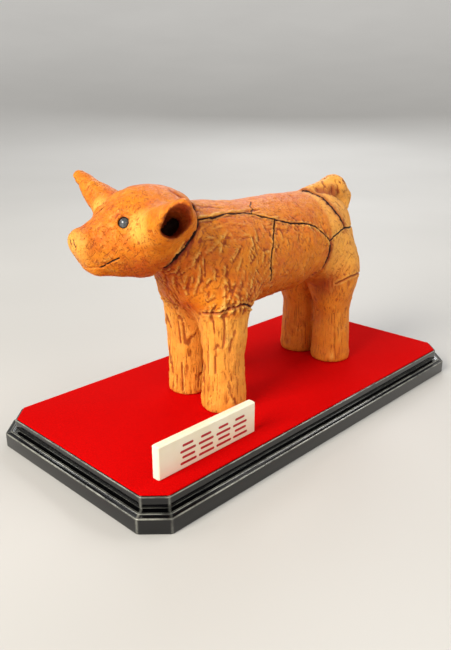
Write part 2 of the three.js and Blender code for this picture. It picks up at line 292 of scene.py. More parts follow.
def refined(points, triangles, chosen):
    """Cuts every edge of the chosen triangles in half, and joins up their neighbours."""
    a, b = triangles, np.roll(triangles, -1, axis=1)
    key = np.minimum(a, b) * len(points) + np.maximum(a, b)
    pairs, edge_of = np.unique(key, return_inverse=True)
    edge_of = edge_of.reshape(-1, 3)
    cut = np.zeros(len(pairs), bool)
    cut[edge_of[chosen]] = True
    middle = np.full(len(pairs), -1)
    middle[cut] = len(points) + np.arange(cut.sum())
    ends = pairs[cut]
    points = np.vstack([points, (points[ends // len(points)] + points[ends % len(points)]) / 2])
    halves = middle[edge_of]
    count = (halves >= 0).sum(axis=1)
    out = [triangles[count == 0]]
    for cuts in (1, 2, 3):
        pick = count == cuts
        t, m = triangles[pick], halves[pick]
        first = np.argmax(m >= 0, axis=1) if cuts == 1 else (np.argmin(m >= 0, axis=1) + 1)
        turn = (np.arange(3) + first[:, None]) % 3
        (a, b, c), (ab, bc, ca) = (np.take_along_axis(v, turn, axis=1).T for v in (t, m))
        if cuts == 1:
            parts = ((a, ab, c), (ab, b, c))
        elif cuts == 2:
            parts = ((ab, b, bc), (a, ab, bc), (a, bc, c))
        else:
            parts = ((a, ab, ca), (ab, b, bc), (ca, bc, c), (ab, bc, ca))
        out += [np.stack(part, axis=1) for part in parts]
    return points, np.concatenate(out)


# ---------------------------------------------------------------- noise on the clay
def hashed(lattice, seed):
    """A repeatable number from 0 to 1 for each whole-number point."""
    h = lattice @ np.array([374761393, 668265263, 1013904223]) + seed * 69069
    h = (h ^ (h >> 13)) * 1274126177
    h = (h ^ (h >> 16)) & 0xFFFFF
    return h / 0xFFFFF


def noise(p, size, seed):
    """Smooth noise from 0 to 1, with lumps of the given size."""
    q = p / np.asarray(size, float)
    base = np.floor(q).astype(np.int64)
    f = q - base
    f = f * f * (3 - 2 * f)
    total = np.zeros(len(p))
    for corner in itertools.product((0, 1), repeat=3):
        weight = np.prod(np.where(corner, f, 1 - f), axis=1)
        total += weight * hashed(base + np.array(corner), seed)
    return total


def cell_tags(p, size, seed):
    """Irregular cells: a number from 0 to 1 for the cell that each point is in."""
    q = p / np.asarray(size, float)
    base = np.floor(q).astype(np.int64)
    nearest = np.full(len(p), 9.0)
    tag = np.zeros(len(p))
    for offset in itertools.product((-1, 0, 1), repeat=3):
        lattice = base + np.array(offset)
        jitter = np.stack([hashed(lattice, seed + i) for i in range(3)], axis=1)
        far = np.linalg.norm(lattice + jitter - q, axis=1)
        closer = far < nearest
        tag = np.where(closer, hashed(lattice, seed + 3), tag)
        nearest = np.where(closer, far, nearest)
    return tag


def torn_lines(p, size, seed, width):
    """Thin wandering lines, drawn where smooth noise crosses its middle."""
    reach = 0.1
    here = noise(p, size, seed)
    slope = np.zeros(len(p))
    for axis in np.eye(3):
        slope += ((noise(p + reach * axis, size, seed) - here) / reach) ** 2
    far = np.abs(here - 0.5) / np.sqrt(slope + 1e-6)
    return np.exp(-((far / width) ** 2))


def step(low, high, v):
    """A smooth rise from 0 at low to 1 at high."""
    t = np.clip((v - low) / (high - low), 0, 1)
    return t * t * (3 - 2 * t)


# ---------------------------------------------------------------- lines cut in the clay
# Dog frame, from point to point. On the sides that the photo shows, most were picked along its cracks
# and worked out through the camera; the rest are made up. Each is laid onto the surface and then cut.
SHARD_LINES = (
    # along the left side from the neck to the flank's rear corner
    ((-43, -8.6, 60.6), (-38.6, -9.5, 61.6), (-32.4, -9.5, 61.5), (-28.2, -9.2, 61.8), (-23.1, -9.2, 61.4),
     (-17.5, -9.5, 60.5), (-9.6, -12, 58.1), (-3.1, -13.5, 56.3), (3.9, -14.2, 55.2), (7.9, -14.7, 53.7),
     (11.1, -15.4, 51.2), (14.9, -15.7, 48)),
    # up to the rump and round it
    ((14.9, -15.7, 48), (19.5, -15.3, 49.7), (25, -14.5, 51), (29.8, -13.2, 50.3), (37, -7, 49.6)),
    # down the middle of the flank
    ((-9.6, -12, 58.1), (-11.7, -13.8, 55.8), (-13.5, -15.3, 53.4), (-16.2, -16.8, 46.8),
     (-14.7, -15.5, 39.8)),
    # the right side is plainer
    ((-38, 9, 61.6), (-24, 9.6, 61.4), (-12, 11.6, 58.9), (-4, 14.4, 56), (6, 15.4, 54.4), (15, 15.6, 50.4),
     (24, 14.6, 52)),
    ((6, 15.4, 54.4), (7.4, 16.9, 47), (4, 15.8, 39.4)),
)
# where one shard stands out from the next
LEDGE_LINES = (
    # over the back in front of the tail
    ((25, -14.5, 51), (21.7, -11.5, 57.5), (21.3, -8, 60.5), (20.3, -3.7, 62.3), (18.4, -0.5, 63.1)),
    # down the rear of the flank, the belly shard over the haunch
    ((14.9, -15.7, 48), (15.6, -15.6, 44.9), (15.8, -14.7, 40.9), (14.8, -12.9, 37.5), (12, -12, 35)),
)
# on the trunk, along the rear edge of the head
NECK_LINE = ((-38, -4, 64), (-39.5, -8.4, 63.2), (-39.9, -9.7, 61.5), (-40.5, -10.5, 60.2),
             (-42.9, -11.3, 57.9), (-44.4, -11.2, 56.3), (-45.8, -10.8, 54.5), (-47.8, -8.9, 51.4),
             (-48.9, -5.1, 48))
# a thin crack from the left side's line up to the back
FINE_LINES = (
    ((-17.3, -9.3, 60.7), (-16.2, -8.2, 61), (-14.8, -7.6, 61.4), (-14.4, -6, 62), (-12.4, -4.4, 62.6),
     (-11.2, -3.3, 62.8)),
)
# where the shoulders and the haunch meet the bark of the legs: left front, right front, left hind
LEG_SEAMS = (
    ((-37.9, -9.3, 33.2), (-36.1, -13.5, 33.7), (-33.9, -16, 35.1), (-29.6, -17.6, 35.8),
     (-26.8, -17.2, 34.8), (-22.6, -13.4, 33)),
    ((-36.6, 10.8, 33), (-37.4, 8.4, 33), (-37.9, 5.4, 33.2), (-36, 3.4, 33)),
    ((21.9, -14.2, 31.3), (24.7, -16.3, 33.1), (27.3, -17, 33.7), (30.5, -16.9, 33.8), (35, -14, 33.4)),
)
# the fold along the left of the tail, cut in and painted dark red as shade
TAIL_FOLD = ((24.5, -3.3, 62.9), (26.6, -3.9, 62.6), (29.3, -4.8, 61.6), (32, -5.4, 60.2), (33.6, -5.6, 58))
BELLY_SHADE = (19.5, -10.3, 30.6)  # painted dark red shade in the hollow between the belly and the hind leg
TAIL_SHADE = (31, -4.3, 61)  # the same under the tail's curl
# Head frame: the mouth from its left corner round the nose to the right, and two slits for nostrils.
MOUTH = ((-13.2, -8.9, -5.3), (-14.6, -8, -6), (-16, -6.9, -7.1), (-17.5, -6.1, -7.9), (-19.2, -4.9, -8),
         (-20.2, -2.2, -8.4), (-20.2, 2.2, -8.4), (-19.2, 4.9, -8), (-17.5, 6.1, -7.9), (-16, 6.9, -7.1),
         (-14.6, 8, -6))
NOSTRILS = (
    ((-23, 1.4, -0.9), (-23.1, -0.5, -2.6)),
    ((-22.8, -0.8, -0.5), (-23.1, -2.9, -2.2)),
)
# a short cut on the brow, just right of the middle, and a wedge cut at the nape by the left ear and painted
# dark red as shade
EAR_NICK = ((-14.8, 2.9, 5), (-14, 2.2, 5.9), (-13.3, 1.5, 6.7))
NAPE_WEDGE = ((5.1, -5.1, 10.9), (5.8, -6.8, 10.1), (7.2, -7.6, 9.1))


def in_dog_frame(line):
    """A line given in the head frame, in the dog frame."""
    return [head_point(*end) for end in line]


def smooth_line(ends, seed, wander=0.18):
    """A hand-cut line through the given points, laid on the surface."""
    spacing = 0.12
    knots = np.array(ends, float)
    padded = np.vstack([2 * knots[0] - knots[1], knots, 2 * knots[-1] - knots[-2]])
    out = []
    for a, b, c, d in zip(padded, padded[1:], padded[2:], padded[3:]):
        t = np.arange(0, 1, spacing / max(np.linalg.norm(c - b), spacing))[:, None]
        out.append(0.5 * (
            2 * b + (c - a) * t + (2 * a - 5 * b + 4 * c - d) * t**2 + (3 * b - a - 3 * c + d) * t**3
        ))
    line = np.vstack(out)
    shake = np.stack([noise(line, 1.6, seed + i) for i in range(3)], axis=1) - 0.5
    return settled(line + wander * 2 * shake, rounds=5)


def distance_to(points, line):
    """How far each point is from a line, up to a reach."""
    reach = 3.0
    out = np.full(len(points), reach)
    low, high = line.min(axis=0) - reach, line.max(axis=0) + reach
    near = np.flatnonzero(((points > low) & (points < high)).all(axis=1))
    for part in np.array_split(near, max(1, len(near) * len(line) // 4_000_000)):
        square = ((points[part][:, None, :] - line[None]) ** 2).sum(axis=2)
        out[part] = np.minimum(out[part], np.sqrt(square.min(axis=1)))
    return out


def strokes(points, normals, where, count, lean, spread, length, width, depth, lip):
    """Short tool strokes: how much each point sinks or rises."""
    homes = random.choice(np.flatnonzero(where), count)
    relief = np.zeros(len(points))
    for home in homes:
        half = length * random.uniform(0.5, 1.3) / 2
        wide = width * random.uniform(0.7, 1.4)
        deep = depth * random.uniform(0.5, 1.3)
        angle = math.radians(lean + random.normal(0, spread))
        middle, normal = points[home], normals[home]
        way = np.array([math.cos(angle), 0, math.sin(angle)])
        way -= normal * (way @ normal)
        way /= np.linalg.norm(way)
        across = np.cross(normal, way)
        off = points - middle
        near = np.flatnonzero(np.abs(off).max(axis=1) < half + 2)
        along, side = off[near] @ way, off[near] @ across
        side = side + 0.06 * half * np.sin(along / half * 2.2 + home)
        fade = 1 - step(0.55, 1.0, np.abs(along) / half)
        groove = np.exp(-((side / wide) ** 2))
        ridge = np.exp(-(((side - 1.7 * wide) / (0.8 * wide)) ** 2))
        relief[near] += fade * (lip * deep * ridge - deep * groove)
    return relief


def pits(points, where, count, radius, depth):
    """Small round hollows: how much each point sinks."""
    relief = np.zeros(len(points))
    for home in random.choice(np.flatnonzero(where), count):
        wide = radius * random.uniform(0.6, 1.5)
        off = points - points[home]
        near = np.flatnonzero(np.abs(off).max(axis=1) < 3 * wide)
        far = np.linalg.norm(off[near], axis=1) / wide
        relief[near] -= depth * random.uniform(0.5, 1.2) * np.exp(-(far**2))
    return relief


# ---------------------------------------------------------------- the clay figure
def to_world(points):
    x, y = turned(points[:, 0], points[:, 1], DOG_TURN)
    return np.stack([x + DOG_AT[0], y + DOG_AT[1], points[:, 2] + GROUND], axis=1) * MM


def crease(points):
    """How far each point is from the crack between the head and the neck."""
    return np.maximum(np.abs(head(in_head(points.T))), np.abs(trunk(points.T)))


def eye_far(points):
    """How far each point is from the middle of the nearer eye."""
    x, y, z = in_head(points.T)
    return ball((x, np.abs(y), z), EYE_AT, 0)


def cut_lines():
    """Every line that is cut in the clay, as points on its surface."""
    return {
        "shard": np.vstack([smooth_line(line, seed=i) for i, line in enumerate(SHARD_LINES)]),
        "ledge": np.vstack([smooth_line(line, wander=0.2, seed=15) for line in LEDGE_LINES]),
        "neck": smooth_line(NECK_LINE, wander=0.2, seed=17),
        "fold": smooth_line(TAIL_FOLD, wander=0.3, seed=16),
        "fine": np.vstack([smooth_line(line, seed=20) for line in FINE_LINES]),
        "seam": np.vstack([smooth_line(line, wander=0.3, seed=30 + i) for i, line in enumerate(LEG_SEAMS)]),
        "mouth": smooth_line(in_dog_frame(MOUTH), wander=0.1, seed=40),
        "slit": np.vstack([smooth_line(in_dog_frame(line), wander=0, seed=50) for line in NOSTRILS]),
        "nick": smooth_line(in_dog_frame(EAR_NICK), wander=0.05, seed=60),
        "wedge": smooth_line(in_dog_frame(NAPE_WEDGE), wander=0.05, seed=61),
    }


def fine_skin(lines):
    """The dog's skin, with smaller triangles along the narrow lines and round the eyes."""
    points, triangles = skin(dog, (-78, -36, -2), (48, 40, 82), CELL)
    points = settled(points, rounds=2)
    narrow = ("shard", "ledge", "neck", "fine", "seam", "mouth", "slit", "nick")
    everything = np.vstack([lines[name] for name in narrow])
    for reach, eye_reach in ((0.9, 3.4), (0.42, 2.9)):
        middles = points[triangles].mean(axis=1)
        close = (distance_to(middles, everything) < reach) | (crease(middles) < reach)
        close |= eye_far(middles) < eye_reach
        points, triangles = refined(points, triangles, close)
        points = settled(points, rounds=2)
    return points, triangles


def bark(points, amount):
    """The legs' long whittled strips and their torn edges: how much they swell, and the relief."""
    shift = np.stack([noise(points, 4, seed) for seed in (11, 12, 13)], axis=1)
    warp = points + 1.4 * shift
    tag, small_tag = cell_tags(warp, (2.0, 2.0, 15), 14), cell_tags(warp, (1.3, 1.3, 6), 24)
    swell = amount * (0.3 * (tag - 0.5) + 0.16 * (small_tag - 0.5))
    patches = step(0.35, 0.6, noise(points, 5, 15))
    beside = points + (0.45, 0.45, 0)
    torn, ridge = (torn_lines(at, (2.6, 2.6, 16), 31, 0.34) * patches for at in (points, beside))
    finer = torn_lines(points, (1.7, 1.7, 9), 32, 0.28) * step(0.45, 0.65, noise(points, 3, 16))
    relief = -amount * np.maximum(0.4 * torn, 0.24 * finer)
    relief += amount * 0.22 * ridge * (1 - torn)
    return swell, relief


def add_tool_marks(relief, points, normals, parts):
    """Adds the strokes of the modelling tool, and then the pits, to the relief."""
    x, _, z = points.T
    head_side, body, shoulder, haunch, flank = (part > 0.5 for part in parts)
    for where, *marks in (
        # count, lean and its spread in degrees, length, width, depth, lip
        (shoulder, 240, 62, 16, 6.5, 0.36, 0.34, 0.8),
        (shoulder, 130, 120, 25, 4, 0.34, 0.26, 0.7),
        (flank & (z < 58), 240, 118, 25, 4.5, 0.34, 0.22, 0.6),
        (flank & (z < 58), 130, 50, 30, 3.5, 0.34, 0.22, 0.6),
        (body & (z > 54) & (x < -8), 150, 4, 12, 8, 0.34, 0.2, 0.6),
        (body & (z > 54) & (x > -8), 120, 8, 25, 5, 0.34, 0.13, 0.5),
        (haunch & (z < 54), 130, 95, 25, 6, 0.42, 0.14, 0.5),
        (head_side, 300, 28, 40, 3, 0.34, 0.12, 0.7),
        (body & (x > 24) & (z > 56), 70, 100, 25, 4, 0.4, 0.22, 0.6),
    ):
        relief += strokes(points, normals, where, *marks)
    relief += pits(points, body & (z > 34), 260, 0.42, 0.3)
    relief += pits(points, head_side, 70, 0.34, 0.16)


def dog_mesh():
    """The finished clay surface, and the layers that colour it."""
    drawn = cut_lines()
    points, triangles = fine_skin(drawn)
    normals = normals_at(points)
    x, y, z = points.T
    q = np.stack(in_head(points.T), axis=1)

    # how much each point belongs to each part
    head_side = step(-1.0, 1.0, trunk(points.T) - head(tuple(q.T)))
    body = 1 - head_side
    to_front_leg = np.hypot(x + FOOT_X, np.abs(y) - FRONT_FOOT_Y)
    to_hind_leg = np.hypot(x - FOOT_X, np.abs(y) - HIND_FOOT_Y)
    legs = body * (1 - step(31, 35, z)) * (1 - step(9.5, 12, np.minimum(to_front_leg, to_hind_leg)))
    shoulder = body * (1 - legs) * (1 - step(-22, -13, x)) * (1 - step(53, 58, z))
    haunch = body * (1 - legs) * np.where(y < 0, step(14, 18, x), step(6, 34, x))
    flank = body * (1 - legs) * (1 - shoulder) * (1 - haunch)
    smoother = step(56, 60, z) * body
    front = 1 - 0.5 * step(0, 10, x)  # the hind legs are half as rough

    # the surface as the hand left it
    swell = 0.5 * (noise(points, 5.5, 1) - 0.5) + 0.3 * (noise(points, 2.4, 2) - 0.5)
    swell *= 1 - 0.45 * smoother
    strips, relief = bark(points, legs * front)
    swell += strips
    add_tool_marks(relief, points, normals, (head_side, body, shoulder, haunch, flank))

    # the cracks between the shards, the seams and the drawn lines
    to = {name: distance_to(points, line) for name, line in drawn.items()}
    to_shard, to_ledge, to_fine, to_seam = to["shard"], to["ledge"], to["fine"], to["seam"]
    to_mouth, to_fold, to_wedge = to["mouth"], to["fold"], to["wedge"]
    to_crease = np.minimum(crease(points), to["neck"])
    to_slit = np.minimum(to["slit"], to["nick"])
    to_eye = eye_far(points)
    mouth_dark = step(-18.4, -17.2, q[:, 0]) * step(0.25, 0.4, noise(points, 0.9, 41))
    quiet = np.minimum.reduce([to_shard, to_ledge, to_fine, to_seam, to_mouth, to_slit])
    nose = head_side * (1 - step(-23.4, -21.6, q[:, 0])) * (1 - step(3, 5, np.abs(q[:, 1])))
    near_eye = 1 - step(2.3, 3.2, to_eye)
    calm = (1 - 0.9 * near_eye) * (1 - 0.6 * nose) * (0.35 + 0.65 * step(0.1, 0.9, quiet))
    relief = np.clip(relief * calm, -0.6, 0.5)

    def cut(far, half, deep):
        return -deep * np.exp(-((far / half) ** 2))

    lines = cut(to_shard, CRACK_HALF, CRACK_DEPTH) + cut(to_ledge, 0.5, 0.7) + cut(to_fine, 0.2, 0.3)
    lines += (
        cut(to_seam, 0.3, 0.4) + cut(to_crease, 0.45, 0.6) + cut(to_mouth, 0.26, 0.5)
        + cut(to_slit, 0.24, 0.5)
    )
    lines += cut(to_fold, 1.6, 1.2) + cut(to_wedge, 0.8, 0.6)
    lips = 0.09 * np.exp(-(((to_shard - 0.6) / 0.25) ** 2)) + 0.18 * np.exp(-(((to_seam - 0.8) / 0.35) ** 2))
    lips += 0.3 * np.exp(-(((to_ledge - 0.9) / 0.8) ** 2)) * (1 - step(13.5, 15.5, x))

    # Dark lines along the cracks, the seams, the mouth, the nostrils and the ear holes; in the neck crease
    # and round each eye bead it is painted shade in the gap.
    dark_lines_and_shade = np.maximum.reduce([
        1 - step(0.16, 0.4, to_shard),
        1 - step(0.3, 0.7, to_ledge),
        0.8 * (1 - step(0.1, 0.32, to_fine)),
        (0.4 + 0.5 * step(-31, -27, x) * (1 - step(-10, 0, x))) * (1 - step(0.12, 0.4, to_seam)),
        1 - step(0.25, 0.7, to_crease),
        mouth_dark * (1 - step(0.12, 0.34, to_mouth)),
        0.85 * (1 - step(0.1, 0.4, to_eye - EYE_RADIUS)),
        0.95 * (1 - step(0.14, 0.36, to_slit)),
        head_side * (1 - step(0.05, 0.3, ear_hole(q.T))),
    ])
    pale = np.maximum(np.exp(-(((to_shard - 0.62) / 0.2) ** 2)), np.exp(-(((to_seam - 0.72) / 0.25) ** 2)))
    # Painted shade, laid in dark red: in each ear's scoop, just beyond the ledge, in the hollow before the
    # hind leg, under the tail's curl, on the body's undersides and on the throat.
    ear_cup_shade = head_side * (1 - step(0.1, 0.35, ear_cup(q.T)))
    shade_behind_ledge = np.exp(-((to_ledge / 1.6) ** 2)) * step(13.5, 15.5, x)
    beside = (x, -np.abs(y), z)
    belly_shade = 1 - step(0, 9, ball(beside, BELLY_SHADE, 0))
    tail_shade = 1 - step(1.5, 5, ball(beside, TAIL_SHADE, 0))
    shade = np.maximum(belly_shade, tail_shade)
    shade_underneath = 0.5 * body * step(0.2, 0.9, -normals[:, 2]) * step(24, 30, z)
    throat_shade = 0.5 * head_side * step(-16, -9, q[:, 0]) * (1 - step(-9, -3, q[:, 2]))
    # painted shade in dark red, also along the tail's fold, the nape wedge, the leg seams and the neck
    # crease
    deep = np.maximum.reduce([
        ear_cup_shade, shade_behind_ledge, shade, shade_underneath, throat_shade,
        1 - step(0.6, 2.8, to_fold), 1 - step(0.4, 1.2, to_wedge),
        0.8 * (1 - step(0.2, 0.7, to_seam)), 0.7 * (1 - step(0.6, 1.4, to_crease)),
    ])
    # Painted light: paler where light falls, on the head before each ear and at the muzzle's end, on the
    # haunch (most on its upper part) and on the legs; the flank a little darker.
    before_ear = 1 - step(1, 7, ball((q[:, 0], np.abs(q[:, 1]), q[:, 2]), (-8.5, 14, 3.5), 0))
    muzzle_end = 1 - step(-23.5, -18, q[:, 0])
    lit = head_side * np.maximum(before_ear, 0.7 * muzzle_end)
    tone_and_painted_light = (
        0.47 + 0.4 * haunch * (0.3 + 0.7 * step(30, 42, z)) - 0.15 * flank
        + 0.32 * legs * front + 0.55 * lit
    )

    # the skin stays on the felt: the soles keep flat
    sole = step(0.0, 0.8, z)
    moved = points + normals * ((swell * calm + relief + lines + lips) * sole)[:, None]
    moved[:, 2] = np.maximum(moved[:, 2], 0)
    return moved, triangles, {
        "hollow": np.clip(-relief / 0.3, 0, 1),
        "raised": np.clip(relief / 0.28, 0, 1),
        # dark lines, with painted shade in the neck crease and round each eye bead
        "crack": dark_lines_and_shade,
        "pale": pale,
        # tone with painted light
        "tone_and_painted_light": tone_and_painted_light,
        # painted shade in dark red
        "deep": deep,
        "bark": legs,
    }


# ---------------------------------------------------------------- Blender helpers
def new_object(name, points, faces, smooth=True):
    mesh = bpy.data.meshes.new(name)
    mesh.from_pydata([tuple(p) for p in points], [], [tuple(f) for f in faces])
    mesh.validate()
    mesh.polygons.foreach_set("use_smooth", [smooth] * len(mesh.polygons))
    thing = bpy.data.objects.new(name, mesh)
    bpy.context.scene.collection.objects.link(thing)
    return thing


def side_faces(first, around, rings):
    """Quads between rings of points that are stacked upwards from the point numbered first."""
    faces = []
    for ring in range(rings - 1):
        start = first + ring * around
        for i in range(around):
            a, b = start + i, start + (i + 1) % around
            faces.append((a, b, b + around, a + around))
    return faces


def set_attribute(thing, name, values):
    layer = thing.data.attributes.new(name, "FLOAT", "POINT")
    layer.data.foreach_set("value", np.asarray(values, np.float32))


class Nodes:
    """A material's node tree, built up from the shader."""

    def __init__(self, name, **sockets):
        self.material = bpy.data.materials.new(name)
        self.material.use_nodes = True
        self.tree = self.material.node_tree
        self.shader = self.tree.nodes["Principled BSDF"]
        self.set(self.shader, sockets)
        self.place = self.add("ShaderNodeTexCoord").outputs["Object"]

    def set(self, node, sockets):
        for key, value in sockets.items():
            socket = node.inputs[key if isinstance(key, int) else key.replace("_", " ")]
            if isinstance(value, bpy.types.NodeSocket):
                self.tree.links.new(value, socket)
            else:
                socket.default_value = value

    def add(self, kind, sockets=None, **settings):
        node = self.tree.nodes.new(kind)
        for key, value in settings.items():
            setattr(node, key, value)
        self.set(node, sockets or {})
        return node

    def attribute(self, name):
        return self.add("ShaderNodeAttribute", attribute_name=name).outputs["Fac"]

    def noise(self, scale, detail=2.0, rough=0.5, at=None, distortion=0.0):
        sockets = {"Vector": at or self.place, "Scale": scale, "Detail": detail, "Roughness": rough}
        sockets["Distortion"] = distortion
        return self.add("ShaderNodeTexNoise", sockets).outputs["Fac"]

    def stretched(self, turn, scale):
        sockets = {"Vector": self.place, "Rotation": turn, "Scale": scale}
        return self.add("ShaderNodeMapping", sockets, vector_type="TEXTURE").outputs[0]

    def band(self, value, low, high, top=1.0, base=0.0):
        sockets = {0: value, 1: low, 2: high, 3: base, 4: top}
        return self.add("ShaderNodeMapRange", sockets, interpolation_type="SMOOTHSTEP").outputs[0]

    def math(self, kind, a, b):
        return self.add("ShaderNodeMath", {0: a, 1: b}, operation=kind).outputs[0]

    def blend(self, amount, a, b):
        node = self.add("ShaderNodeMix", data_type="RGBA")
        self.set(node, {0: amount, 6: a, 7: b})
        return node.outputs[2]

    def bump(self, height, distance, strength):
        sockets = {"Height": height, "Distance": distance, "Strength": strength}
        return self.add("ShaderNodeBump", sockets).outputs[0]

    def finish(self, **sockets):
        self.set(self.shader, sockets)
        return self.material


def linear(v):
    return v / 12.92 if v <= 0.04045 else ((v + 0.055) / 1.055) ** 2.4


def srgb(red, green, blue):
    return (linear(red / 255), linear(green / 255), linear(blue / 255), 1)


# ---------------------------------------------------------------- materials
def clay_material():
    m = Nodes("painted_clay", Metallic=0.0, Specular_IOR_Level=0.3)
    broad = m.band(m.noise(95, 3), 0.3, 0.7)
    middling = m.band(m.noise(420, 3, 0.6), 0.35, 0.68)
    cream, brown = srgb(242, 194, 96), srgb(138, 44, 6)
    colour = m.blend(broad, srgb(200, 92, 2), srgb(214, 118, 6))
    colour = m.blend(m.math("MULTIPLY", middling, 0.4), colour, srgb(228, 146, 24))
    # paler cream where the tone and the painted light rise
    colour = m.blend(m.band(m.attribute("tone_and_painted_light"), 0.45, 1.0, 0.75), colour, srgb(246, 180, 76))

    # fine scratches: upright on the legs, slanting both ways elsewhere
    legs = m.attribute("bark")
    elsewhere = m.math("SUBTRACT", 1.0, legs)
    grooves = None
    for turn, size, low, where in (
        ((0.0, 0.0, 0.0), (0.0006, 0.0006, 0.008), 0.56, legs),
        ((0.25, 0.5, 0.1), (0.0005, 0.0008, 0.0035), 0.58, elsewhere),
        ((-0.2, -0.7, 0.3), (0.0005, 0.0008, 0.003), 0.6, elsewhere),
    ):
        grain = m.noise(1, 2, 0.6, m.stretched(turn, size), 0.7)
        groove = m.math("MULTIPLY", m.band(grain, low, low + 0.1), where)
        grooves = groove if grooves is None else m.math("MAXIMUM", grooves, groove)
    broken = m.math("MULTIPLY", grooves, m.band(m.noise(300, 2), 0.35, 0.6, 0.75, 0.15))
    # painted highlight: cream on the raised strokes of the relief
    ridge_highlight = m.math("MULTIPLY", m.attribute("raised"), m.band(m.noise(300, 2), 0.25, 0.6, 0.8, 0.3))
    colour = m.blend(ridge_highlight, colour, cream)
    # painted shade: brown in the hollows of the relief
    colour = m.blend(m.band(m.attribute("hollow"), 0.2, 0.9, 0.8), colour, brown)
    colour = m.blend(broken, colour, srgb(160, 62, 8))
    specks = m.band(m.noise(1500, 1, 0.5), 0.68, 0.76, 0.5)
    colour = m.blend(specks, colour, srgb(128, 46, 10))
    colour = m.blend(m.math("MULTIPLY", m.attribute("pale"), 0.4), colour, cream)
    # painted shade: dark red in the ear scoops, folds, seams and creases, and under the body and the head
    colour = m.blend(m.math("MULTIPLY", m.attribute("deep"), 0.75), colour, srgb(142, 30, 4))
    # near black along the cracks, the mouth, the nostrils and the ear holes, and as painted shade in the
    # neck crease and round each eye bead
    colour = m.blend(m.band(m.attribute("crack"), 0.1, 0.75, 0.97), colour, srgb(22, 6, 5))
    rough = m.band(m.noise(700, 2), 0.3, 0.7, 0.66, 0.46)
    coarse, fine = m.noise(1300, 3, 0.6), m.noise(2600, 3, 0.65)
    grit = m.math("ADD", m.math("MULTIPLY", coarse, 0.5), m.math("MULTIPLY", fine, 0.3))
    height = m.math("SUBTRACT", grit, m.math("MULTIPLY", grooves, 0.6))
    return m.finish(Base_Color=colour, Roughness=rough, Normal=m.bump(height, 0.0004, 0.9))


def felt_material():
    m = Nodes("red_felt", Roughness=1.0, Specular_IOR_Level=0.03, Sheen_Weight=0.03, Sheen_Roughness=0.6)
    m.shader.inputs["Sheen Tint"].default_value = srgb(255, 90, 80)
    wool = m.noise(2400, 4, 0.7, distortion=1.2)
    patches = m.noise(45, 3)
    colour = m.blend(m.band(wool, 0.3, 0.7), srgb(176, 0, 0), srgb(206, 0, 1))
    colour = m.blend(m.band(patches, 0.35, 0.7, 0.25), colour, srgb(186, 0, 0))
    return m.finish(Base_Color=colour, Normal=m.bump(wool, 0.00015, 0.7))


def lacquer_material():
    m = Nodes("black_lacquer", Specular_IOR_Level=0.4, Coat_Weight=0.3, Coat_Roughness=0.03)
    wave = m.noise(60, 2)
    dust = m.band(m.noise(3800, 2, 0.6), 0.7, 0.78)
    colour = m.blend(m.band(m.noise(220, 3), 0.4, 0.8, 0.6), srgb(4, 4, 5), srgb(9, 9, 9))
    colour = m.blend(m.math("MULTIPLY", dust, 0.25), colour, srgb(70, 68, 66))
    # painted highlight: pale along the arrises, broken up by noise
    highlight_amount = m.math("MULTIPLY", m.attribute("arris"), m.band(m.noise(160, 4, 0.7), 0.25, 0.7, 0.6, 0.1))
    colour = m.blend(highlight_amount, colour, srgb(196, 196, 184))
    rough = m.band(m.noise(300, 4, 0.7), 0.35, 0.75, 0.16, 0.07)
    return m.finish(Base_Color=colour, Roughness=rough, Normal=m.bump(wave, 0.0002, 0.25))


def plate_material():
    m = Nodes("ivory_plate", Specular_IOR_Level=0.45, Subsurface_Weight=0.15, Subsurface_Scale=0.002)
    m.shader.inputs["Subsurface Radius"].default_value = (1.0, 0.8, 0.5)
    colour = m.blend(m.band(m.noise(70, 3), 0.35, 0.7), srgb(228, 222, 192), srgb(236, 231, 208))
    specks = m.band(m.noise(1900, 2, 0.6), 0.7, 0.8, 0.25)
    colour = m.blend(specks, colour, srgb(200, 190, 150))
    rough = m.band(m.noise(500, 3), 0.3, 0.7, 0.5, 0.34)
    return m.finish(Base_Color=colour, Roughness=rough, Normal=m.bump(m.noise(900, 3), 0.00004, 0.5))


def paint_material():
    m = Nodes("red_paint", Specular_IOR_Level=0.5)
    colour = m.blend(m.band(m.noise(900, 3), 0.35, 0.7), srgb(160, 8, 22), srgb(186, 16, 30))
    return m.finish(Base_Color=colour, Roughness=m.band(m.noise(1200, 2), 0.3, 0.7, 0.5, 0.32))


def bead_material():
    m = Nodes("eye_bead", Specular_IOR_Level=0.6, Coat_Weight=0.6, Coat_Roughness=0.05)
    cloud = m.band(m.noise(420, 3, 0.6), 0.3, 0.7)
    colour = m.blend(cloud, srgb(52, 56, 60), srgb(92, 99, 104))
    return m.finish(Base_Color=colour, Roughness=m.band(m.noise(900, 2), 0.3, 0.7, 0.3, 0.18))


# ---------------------------------------------------------------- the pieces
def cut_rectangle(half_x, half_y, corner):
    """A rectangle with cut corners, anticlockwise seen from above."""
    ring = []
    for sx, sy in ((1, 1), (-1, 1), (-1, -1), (1, -1)):
        on_side = (sx * half_x, sy * (half_y - corner))
        on_front = (sx * (half_x - corner), sy * half_y)
        ring += [on_side, on_front] if sx * sy > 0 else [on_front, on_side]
    return ring


def make_dog():
    points, triangles, layers = dog_mesh()
    figure = new_object("dog_clay", to_world(points), triangles)
    for name, values in layers.items():
        set_attribute(figure, name, values)
    figure.data.materials.append(clay_material())
    print("dog triangles", len(triangles))
    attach(figure, "root")
    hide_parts("dog_figure")


